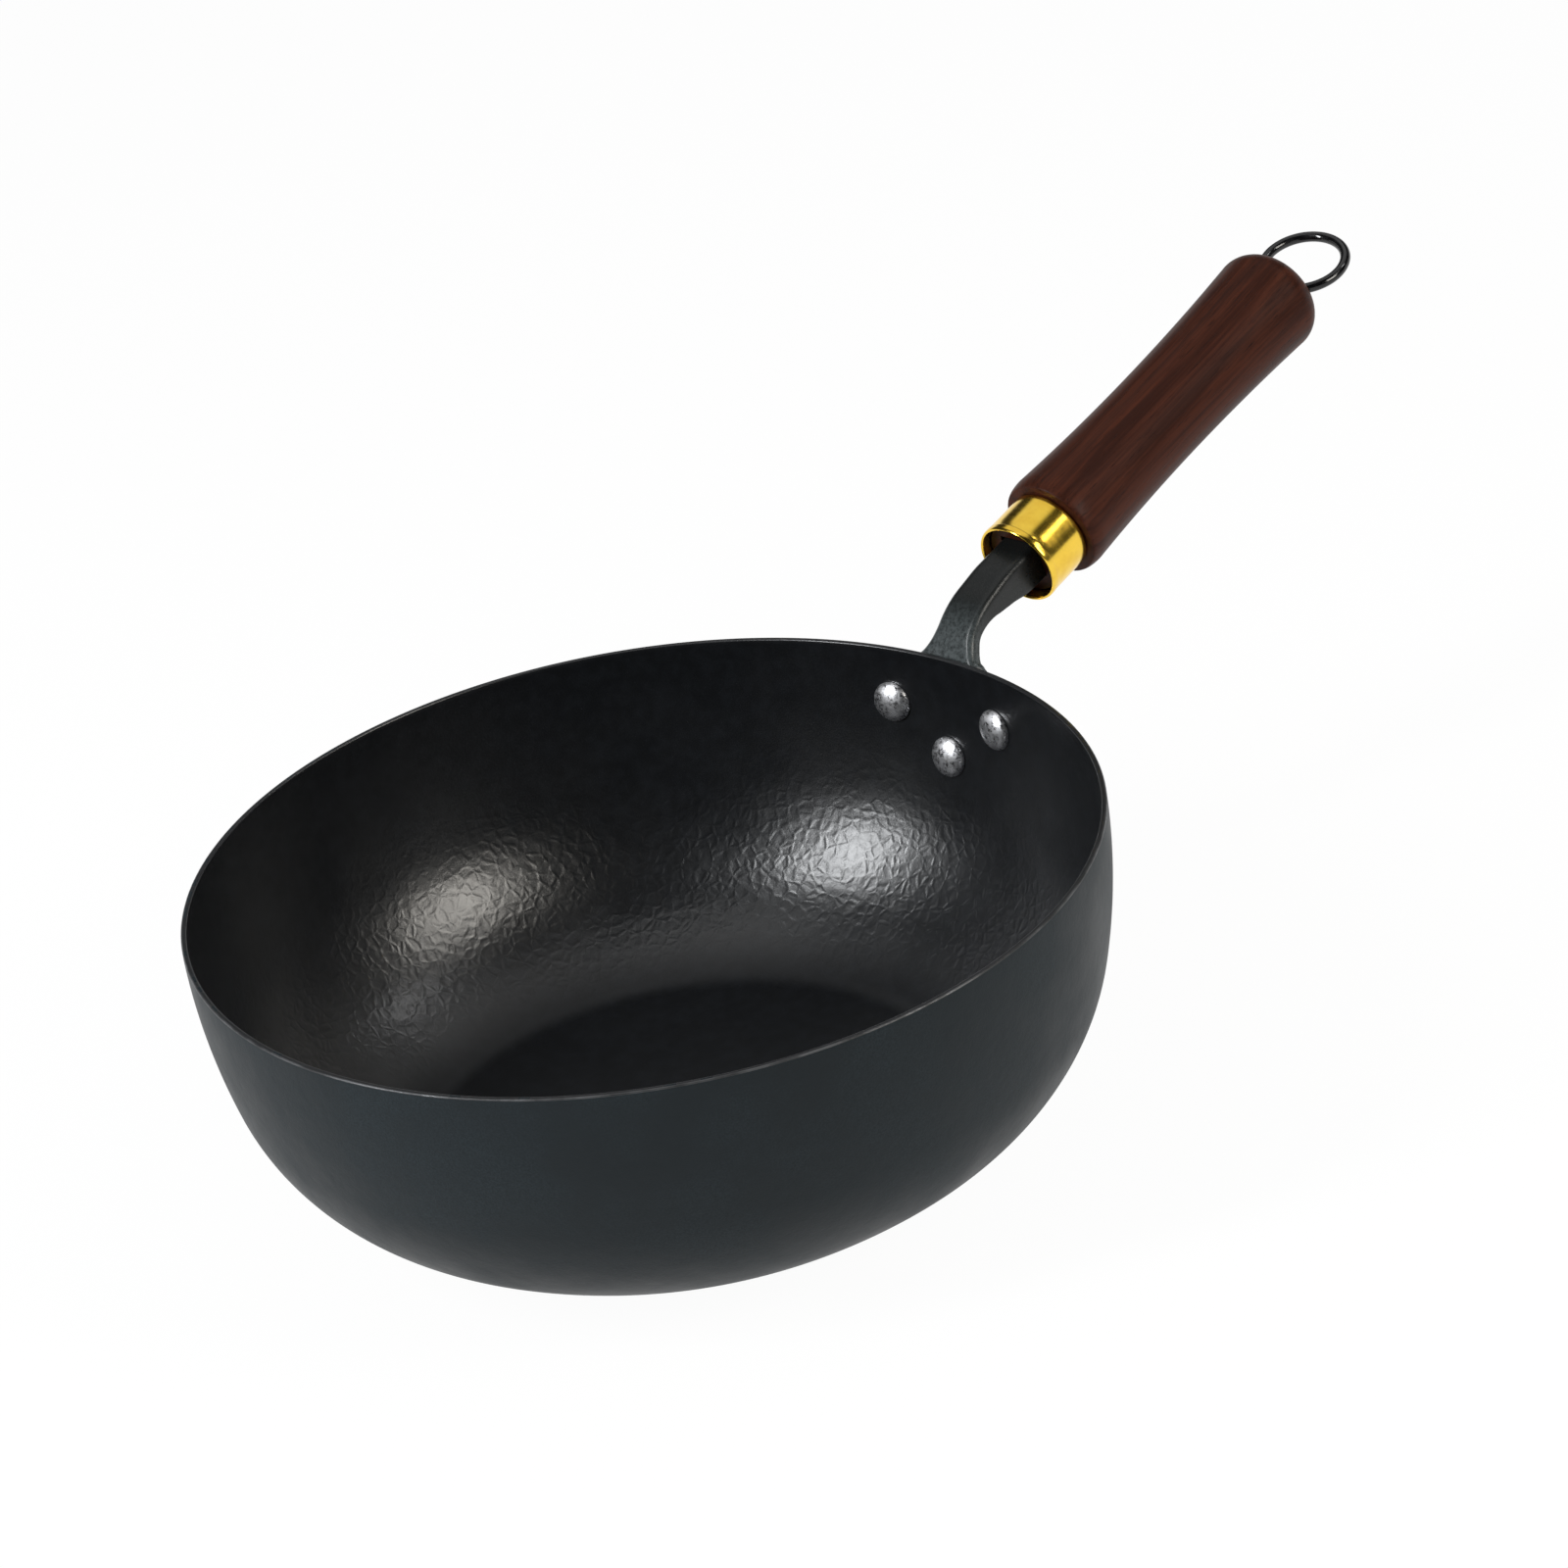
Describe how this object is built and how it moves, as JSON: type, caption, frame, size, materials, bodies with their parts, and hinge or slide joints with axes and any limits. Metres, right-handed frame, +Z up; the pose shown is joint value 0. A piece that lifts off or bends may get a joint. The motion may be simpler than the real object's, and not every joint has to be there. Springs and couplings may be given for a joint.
{
  "type": "wok",
  "caption": "Deep flat-based iron wok with a riveted steel bracket, a brass ferrule, a turned wooden handle and a hanging eye.",
  "frame": {"origin": "centre of the flat base's underside", "axes": "+Z up out of the bowl, +X out along the handle"},
  "size_m": [0.4932, 0.28, 0.169],
  "materials": {
    "iron": "seasoned black iron, satin outside and glossier, pebbled inside",
    "black_steel": "black-finished pressed steel",
    "rivet_steel": "polished",
    "brass": "polished",
    "wood": "dark red-brown, satin lacquer",
    "black_wire": "glossy black",
    "nut_steel": "plain steel"
  },
  "bodies": {
    "root": {"wok_bowl": "iron", "handle_bracket": "black_steel", "rivet_left": "rivet_steel", "rivet_right": "rivet_steel", "rivet_lower": "rivet_steel", "ferrule": "brass", "wooden_handle": "wood", "hanging_eye": "black_wire", "clamp_nut": "nut_steel"}
  },
  "joints": []
}
